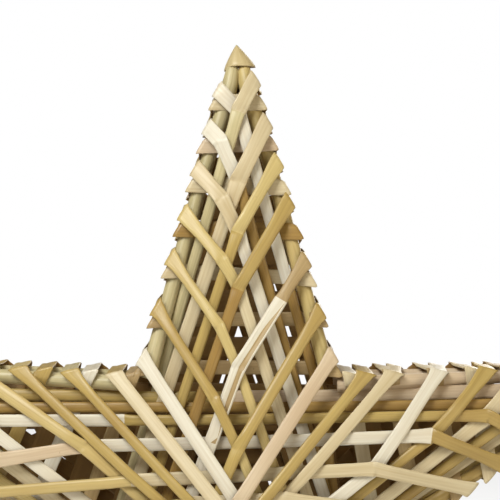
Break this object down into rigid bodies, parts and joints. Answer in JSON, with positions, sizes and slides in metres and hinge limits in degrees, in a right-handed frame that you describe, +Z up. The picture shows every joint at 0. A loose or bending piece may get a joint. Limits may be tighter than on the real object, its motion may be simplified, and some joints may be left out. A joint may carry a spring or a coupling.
{
  "type": "straw tree topper",
  "caption": "Hollow star-shaped tree topper of pale and golden straws wound over thick edge stalks, with folded straw caps at its points.",
  "frame": {"origin": "the lower notch between the two lower arms, midway between the front and back faces, where a tree's top shoot goes in", "axes": "+Z up through the middle of the top arm, -Y out of the front face that the picture shows, +X to the right as seen from the front"},
  "size_m": [0.2861, 0.0774, 0.2854],
  "materials": {
    "edge_stalk": "satin",
    "folded_cap": "satin",
    "bleached_straw": "satin",
    "cream_straw": "satin",
    "pale_yellow_straw": "satin",
    "gold_yellow_straw": "satin",
    "split_straw": "satin",
    "gold_straw": "satin",
    "white_straw": "satin"
  },
  "bodies": {
    "root": {"top_arm_tip_cap": "folded_cap", "top_arm_front_left_stalk": "edge_stalk", "top_arm_front_right_stalk": "edge_stalk", "top_arm_back_left_stalk": "edge_stalk", "top_arm_back_right_stalk": "edge_stalk", "left_arm_tip_cap": "folded_cap", "left_arm_front_left_stalk": "edge_stalk", "left_arm_front_right_stalk": "edge_stalk", "left_arm_back_left_stalk": "edge_stalk", "left_arm_back_right_stalk": "edge_stalk", "lower_left_arm_tip_cap": "folded_cap", "lower_left_arm_front_left_stalk": "edge_stalk", "lower_left_arm_front_right_stalk": "edge_stalk", "lower_left_arm_back_left_stalk": "edge_stalk", "lower_left_arm_back_right_stalk": "edge_stalk", "lower_right_arm_tip_cap": "folded_cap", "lower_right_arm_front_left_stalk": "edge_stalk", "lower_right_arm_front_right_stalk": "edge_stalk", "lower_right_arm_back_left_stalk": "edge_stalk", "lower_right_arm_back_right_stalk": "edge_stalk", "right_arm_tip_cap": "folded_cap", "right_arm_front_left_stalk": "edge_stalk", "right_arm_front_right_stalk": "edge_stalk", "right_arm_back_left_stalk": "edge_stalk", "right_arm_back_right_stalk": "edge_stalk", "front_course_1_top_straws": "bleached_straw", "front_course_1_side_straws": "bleached_straw", "back_course_1_top_straws": "bleached_straw", "back_course_1_side_straws": "bleached_straw", "front_course_2_top_straws": "cream_straw", "front_course_2_side_straws": "cream_straw", "back_course_2_top_straws": "cream_straw", "back_course_2_side_straws": "cream_straw", "front_course_3_top_straws": "pale_yellow_straw", "front_course_3_side_straws": "pale_yellow_straw", "back_course_3_top_straws": "pale_yellow_straw", "back_course_3_side_straws": "pale_yellow_straw", "front_course_4_top_straws": "gold_yellow_straw", "front_course_4_side_straws": "gold_yellow_straw", "back_course_4_top_straws": "gold_yellow_straw", "back_course_4_side_straws": "gold_yellow_straw", "front_course_5_top_straws": "split_straw", "front_course_5_side_straws": "split_straw", "front_course_5_left_straws": "split_straw", "back_course_5_top_straws": "split_straw", "back_course_5_side_straws": "split_straw", "back_course_5_left_straws": "split_straw", "front_course_6_top_straws": "gold_straw", "front_course_6_side_straws": "gold_straw", "front_course_6_left_straws": "gold_straw", "back_course_6_top_straws": "gold_straw", "back_course_6_side_straws": "gold_straw", "back_course_6_left_straws": "gold_straw", "front_course_7_top_straws": "white_straw", "front_course_7_side_straws": "white_straw", "front_course_7_left_straws": "white_straw", "back_course_7_top_straws": "white_straw", "back_course_7_side_straws": "white_straw", "back_course_7_left_straws": "white_straw"}
  },
  "joints": []
}
